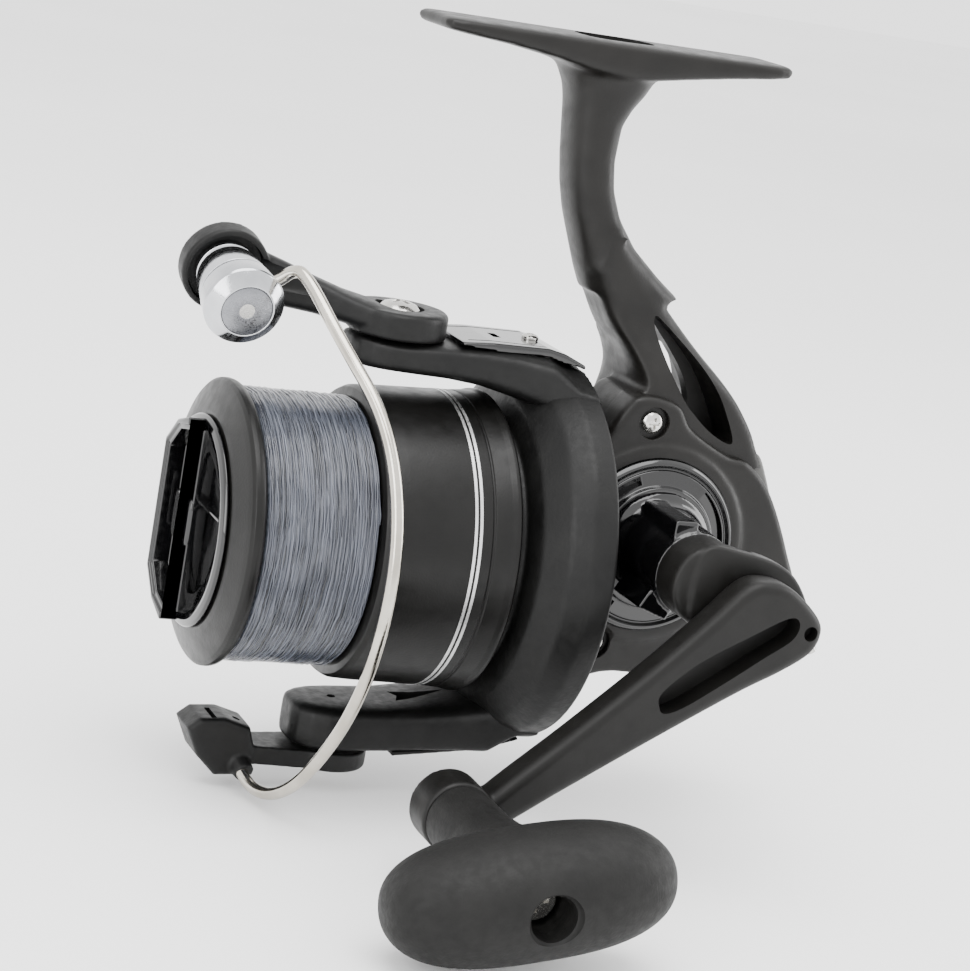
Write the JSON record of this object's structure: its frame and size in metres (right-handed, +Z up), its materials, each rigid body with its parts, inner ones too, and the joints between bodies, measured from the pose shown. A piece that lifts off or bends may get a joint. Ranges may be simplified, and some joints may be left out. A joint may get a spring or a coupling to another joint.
{
  "type": "spinning reel",
  "caption": "Front-drag spinning reel: foot and stem, rotor with flip-over bail and line roller, line-filled spool, drag knob and folding crank handle with a T knob.",
  "frame": {"origin": "centre of the reel foot's flat seat, where it meets the rod", "axes": "+Z up to the rod, -X towards the rod's tip (spool end), +X to the rear, crank handle on the -Y side"},
  "size_m": [0.1183, 0.1202, 0.1332],
  "materials": {
    "body_satin": "satin charcoal",
    "guard_grey": "satin grey",
    "gloss_black": "gloss",
    "satin_black": "satin",
    "spool_black": "satin",
    "mono_line": "clear monofilament wound on",
    "handle_satin": "satin graphite",
    "soft_knob": "matte soft touch",
    "bright_steel": "bright",
    "wire_nickel": "nickel",
    "roller_chrome": "polished",
    "gear_zinc": "die cast",
    "gear_brass": "machined",
    "inner_nylon": "natural",
    "drag_felt": "oiled felt"
  },
  "bodies": {
    "housing": {"body_housing": "body_satin", "side_cover": "body_satin", "rear_guard": "guard_grey", "hub_plate": "gloss_black", "near_gear_bearing": "bright_steel", "far_gear_bearing": "bright_steel", "main_bearing": "bright_steel", "one_way_clutch": "bright_steel", "clutch_retainer": "bright_steel", "guide_rod": "bright_steel", "oscillation_stud": "bright_steel", "cover_screws": "bright_steel"},
    "crank": {"drive_gear": "gear_zinc", "gear_axle": "gear_zinc", "shank_sleeve": "gloss_black", "handle_shank": "handle_satin", "fold_pin": "bright_steel", "shank_cap": "satin_black"},
    "arm": {"handle_arm": "handle_satin", "knob_rivet": "bright_steel", "knob_screw": "bright_steel"},
    "knob": {"handle_knob": "soft_knob", "knob_bushes": "inner_nylon"},
    "rotor_body": {"rotor": "satin_black", "pinion_gear": "gear_brass", "clutch_sleeve": "bright_steel", "rotor_nut": "gear_brass", "bail_spring": "bright_steel", "spring_guide": "bright_steel", "spring_cover": "gloss_black", "balance_cover": "satin_black", "balance_weight": "gear_zinc", "rotor_cover_screws": "bright_steel", "pivot_screws": "bright_steel"},
    "bail": {"bail_arm": "satin_black", "bail_lever": "satin_black", "bail_wire": "wire_nickel", "roller_cap": "roller_chrome", "roller_pin": "bright_steel", "roller_bush": "inner_nylon"},
    "roller": {"line_roller": "roller_chrome"},
    "shaft": {"main_shaft": "bright_steel", "shaft_pin": "bright_steel", "spool_seat": "inner_nylon", "oscillation_slider": "inner_nylon", "shaft_clip": "bright_steel", "steel_drag_washers": "bright_steel"},
    "spool_body": {"spool": "spool_black", "line_winding": "mono_line", "felt_drag_washers": "drag_felt", "washer_retainer": "bright_steel", "click_ratchet": "inner_nylon"},
    "drag": {"drag_knob": "gloss_black", "drag_nut": "gear_brass", "knob_washer": "inner_nylon"},
    "oscillator": {"oscillation_gear": "gear_zinc"},
    "reverse": {"anti_reverse_lever": "satin_black"}
  },
  "joints": [
    {"name": "crank_turn", "type": "hinge", "parent": "housing", "child": "crank", "pos_m": [0.0177, 0, -0.0827], "axis": [0, 1, 0], "continuous": true},
    {"name": "arm_fold", "type": "hinge", "parent": "crank", "child": "arm", "pos_m": [0.034, -0.04005, -0.087], "axis": [-0.5878, 0, 0.809], "range_deg": [0, 90]},
    {"name": "knob_turn", "type": "hinge", "parent": "arm", "child": "knob", "pos_m": [-0.023, -0.06, -0.1213], "axis": [0, 1, 0], "continuous": true},
    {"name": "rotor_turn", "type": "hinge", "parent": "housing", "child": "rotor_body", "pos_m": [-0.014, 0, -0.088], "axis": [1, 0, 0], "continuous": true},
    {"name": "bail_flip", "type": "hinge", "parent": "rotor_body", "child": "bail", "pos_m": [-0.029, 0, -0.088], "axis": [0, 0, -1], "range_deg": [0, 115]},
    {"name": "roller_turn", "type": "hinge", "parent": "bail", "child": "roller", "pos_m": [-0.0585, 0, -0.0478], "axis": [0, -0.9659, -0.2588], "continuous": true},
    {"name": "spool_stroke", "type": "slide", "parent": "housing", "child": "shaft", "axis": [-1, 0, 0], "range_m": [0, 0.013]},
    {"name": "spool_slip", "type": "hinge", "parent": "shaft", "child": "spool_body", "pos_m": [-0.044, 0, -0.088], "axis": [1, 0, 0], "continuous": true},
    {"name": "drag_adjust", "type": "hinge", "parent": "shaft", "child": "drag", "pos_m": [-0.059, 0, -0.088], "axis": [1, 0, 0], "range_deg": [0, 360]},
    {"name": "oscillator_turn", "type": "hinge", "parent": "housing", "child": "oscillator", "pos_m": [0.0312, 0.005, -0.0827], "axis": [0, 1, 0], "continuous": true},
    {"name": "reverse_switch", "type": "hinge", "parent": "housing", "child": "reverse", "pos_m": [0.0154, 0, -0.106], "axis": [0, 0, 1], "range_deg": [0, 35]}
  ],
  "couplings": [
    {"joint": "rotor_turn", "follows": "crank_turn", "ratio": -5},
    {"joint": "oscillator_turn", "follows": "crank_turn", "ratio": -0.5}
  ]
}
